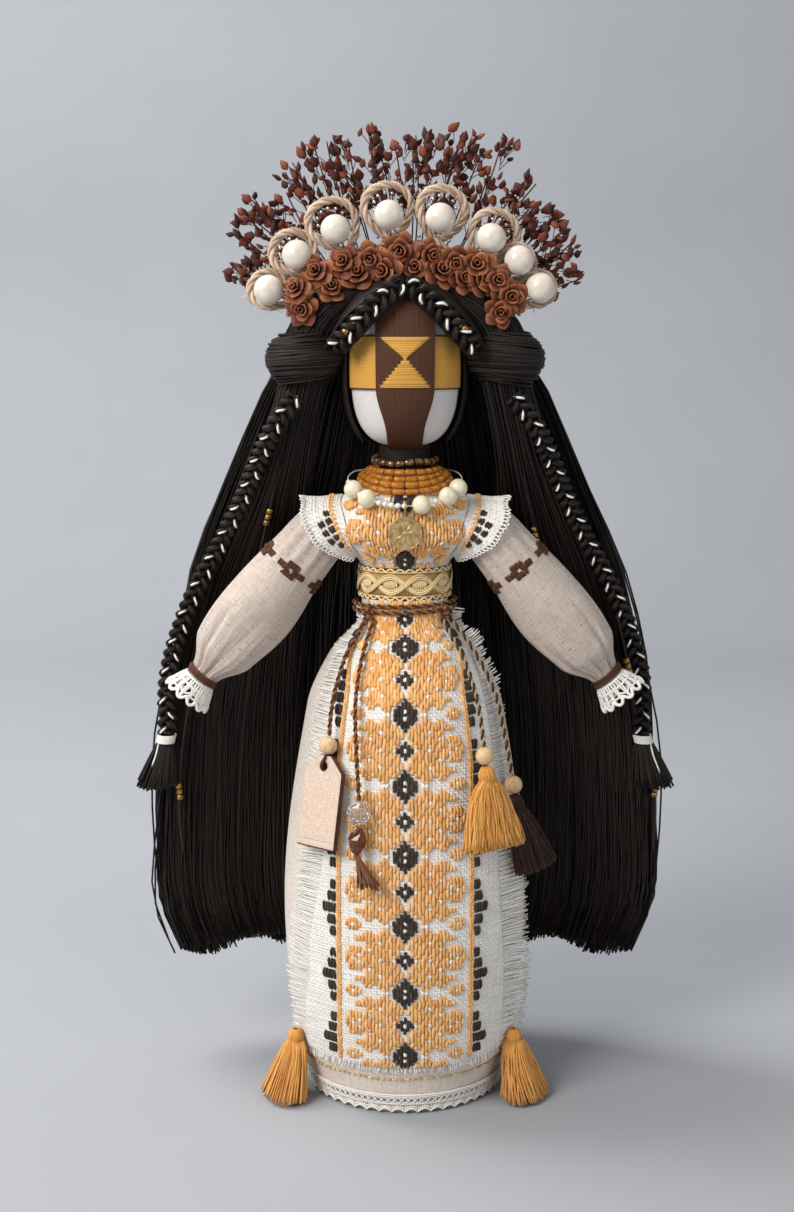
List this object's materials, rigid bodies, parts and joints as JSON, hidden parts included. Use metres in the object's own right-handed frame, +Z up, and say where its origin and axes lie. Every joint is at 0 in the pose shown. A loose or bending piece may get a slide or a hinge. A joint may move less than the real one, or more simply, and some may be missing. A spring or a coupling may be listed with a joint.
{
  "type": "folk art doll",
  "caption": "Wound faceless rag doll that stands on its wide skirt, with hinged sleeves, hanging braids, a coin pendant, a rose and bead crown, and a waist cord with a tag and tassels.",
  "frame": {"origin": "middle of the flat underside of the base disc, at the height the doll rests on", "axes": "+Z up, the doll's front faces -Y, -X is on the left of the picture"},
  "size_m": [0.2366, 0.1276, 0.4334],
  "materials": {
    "linen": "natural slubbed linen",
    "white_cotton": "open white weave with embroidery",
    "stuffing": "rolled cloth, hidden",
    "gold_braid": "gold gimp braid",
    "brown_cord": "twisted cord",
    "white_thread": "fine wound thread",
    "mustard_thread": "mustard embroidery yarn",
    "brown_thread": "dark brown yarn",
    "hair_thread": "near-black yarn",
    "bronze_glass": "dark bronze bugle beads",
    "amber_glass": "brown amber glass",
    "clear_glass": "clear faceted bead",
    "cream_bead": "glossy cream beads",
    "old_brass": "antiqued brass",
    "rust_paper": "folded paper petals",
    "jute": "jute twine",
    "dried_grass": "dried grass panicles",
    "bead_wood": "small turned beads",
    "pale_wood": "pale plywood"
  },
  "bodies": {
    "doll": {"skirt": "linen", "base_disc": "pale_wood", "core_dowel": "pale_wood", "body_core": "stuffing", "lace_hem": "white_cotton", "apron": "white_cotton", "belt_braid": "gold_braid", "waist_cord": "brown_cord", "torso": "stuffing", "bodice": "white_cotton", "head": "white_thread", "face_band_cross": "mustard_thread", "face_band_upright": "brown_thread", "face_hourglass": "mustard_thread", "neck_wrap": "brown_thread", "bugle_necklace": "bronze_glass", "amber_necklace": "amber_glass", "cream_necklace": "cream_bead", "hair_bunch_left": "hair_thread", "hair_bunch_right": "hair_thread", "hair_wrap_left": "hair_thread", "hair_wrap_right": "hair_thread", "hair_cap": "hair_thread", "hair_hank_1": "hair_thread", "hair_hank_2": "hair_thread", "hair_hank_3": "hair_thread", "hair_hank_4": "hair_thread", "hair_hank_5": "hair_thread", "crown_band": "jute", "jute_loops": "jute", "rose_garland": "rust_paper", "crown_beads": "cream_bead", "dried_grass": "dried_grass"},
    "arm_left": {"sleeve_left": "linen", "wrist_tie_left": "brown_cord", "cuff_left": "white_cotton"},
    "arm_right": {"sleeve_right": "linen", "wrist_tie_right": "brown_cord", "cuff_right": "white_cotton"},
    "braid_left": {"braid_left": "hair_thread", "braid_tie_left": "white_thread"},
    "braid_right": {"braid_right": "hair_thread", "braid_tie_right": "white_thread"},
    "pendant": {"pendant_ring": "old_brass", "coin": "old_brass"},
    "hem_tassel_left": {"hem_tassel_left": "mustard_thread"},
    "hem_tassel_right": {"hem_tassel_right": "mustard_thread"},
    "tag_line": {"cord_tag": "brown_cord", "wood_bead_tag": "bead_wood"},
    "tag": {"tag": "pale_wood"},
    "crystal_line": {"cord_crystal": "brown_cord"},
    "crystal_drop": {"crystal_bead": "clear_glass", "drop_bead": "amber_glass"},
    "gold_line": {"cord_gold": "brown_cord", "wood_bead_gold": "bead_wood"},
    "gold_tassel": {"tassel_gold": "mustard_thread"},
    "dark_line": {"cord_dark": "brown_cord", "wood_bead_dark": "bead_wood"},
    "dark_tassel": {"tassel_dark": "brown_thread"}
  },
  "joints": [
    {"name": "arm_left_lift", "type": "hinge", "parent": "doll", "child": "arm_left", "pos_m": [-0.038, -0.006, 0.2535], "axis": [0, 1, 0], "range_deg": [-12, 15]},
    {"name": "arm_right_lift", "type": "hinge", "parent": "doll", "child": "arm_right", "pos_m": [0.038, -0.006, 0.2535], "axis": [0, -1, 0], "range_deg": [-12, 15]},
    {"name": "braid_left_swing", "type": "hinge", "parent": "doll", "child": "braid_left", "pos_m": [-0.047, -0.0149, 0.31428], "axis": [0, 1, 0], "range_deg": [0, 12]},
    {"name": "braid_right_swing", "type": "hinge", "parent": "doll", "child": "braid_right", "pos_m": [0.047, -0.0149, 0.31428], "axis": [0, -1, 0], "range_deg": [0, 12]},
    {"name": "pendant_swing", "type": "hinge", "parent": "doll", "child": "pendant", "pos_m": [0, -0.03074, 0.26835], "axis": [-1, 0, 0], "range_deg": [0, 45]},
    {"name": "hem_tassel_left_swing", "type": "hinge", "parent": "doll", "child": "hem_tassel_left", "pos_m": [-0.0489, -0.026, 0.0322], "axis": [-0.4691, 0.8832, 0], "range_deg": [0, 30]},
    {"name": "hem_tassel_right_swing", "type": "hinge", "parent": "doll", "child": "hem_tassel_right", "pos_m": [0.0489, -0.026, 0.0322], "axis": [-0.4691, -0.8832, 0], "range_deg": [0, 30]},
    {"name": "tag_line_swing", "type": "hinge", "parent": "doll", "child": "tag_line", "pos_m": [-0.01713, -0.01542, 0.21762], "axis": [-0.7549, 0.6559, 0], "range_deg": [0, 25]},
    {"name": "tag_swing", "type": "hinge", "parent": "tag_line", "child": "tag", "pos_m": [-0.0331, -0.04088, 0.16594], "axis": [-0.7772, 0.6292, 0], "range_deg": [0, 30]},
    {"name": "crystal_line_swing", "type": "hinge", "parent": "doll", "child": "crystal_line", "pos_m": [-0.01355, -0.01865, 0.21762], "axis": [-0.9061, 0.423, 0], "range_deg": [0, 25]},
    {"name": "crystal_drop_swing", "type": "hinge", "parent": "crystal_line", "child": "crystal_drop", "pos_m": [-0.01963, -0.05395, 0.14518], "axis": [-0.9397, 0.3419, 0], "range_deg": [0, 30]},
    {"name": "gold_line_swing", "type": "hinge", "parent": "doll", "child": "gold_line", "pos_m": [0.01601, -0.01658, 0.21762], "axis": [-0.7878, -0.6159, 0], "range_deg": [0, 25]},
    {"name": "gold_tassel_swing", "type": "hinge", "parent": "gold_line", "child": "gold_tassel", "pos_m": [0.03405, -0.04687, 0.16276], "axis": [-0.8089, -0.5879, 0], "range_deg": [0, 30]},
    {"name": "dark_line_swing", "type": "hinge", "parent": "doll", "child": "dark_line", "pos_m": [0.01955, -0.01221, 0.21762], "axis": [0.848, -0.53, 0], "range_deg": [0, 16]},
    {"name": "dark_tassel_swing", "type": "hinge", "parent": "dark_line", "child": "dark_tassel", "pos_m": [0.04752, -0.02969, 0.14579], "axis": [0.848, -0.53, 0], "range_deg": [0, 20]}
  ]
}
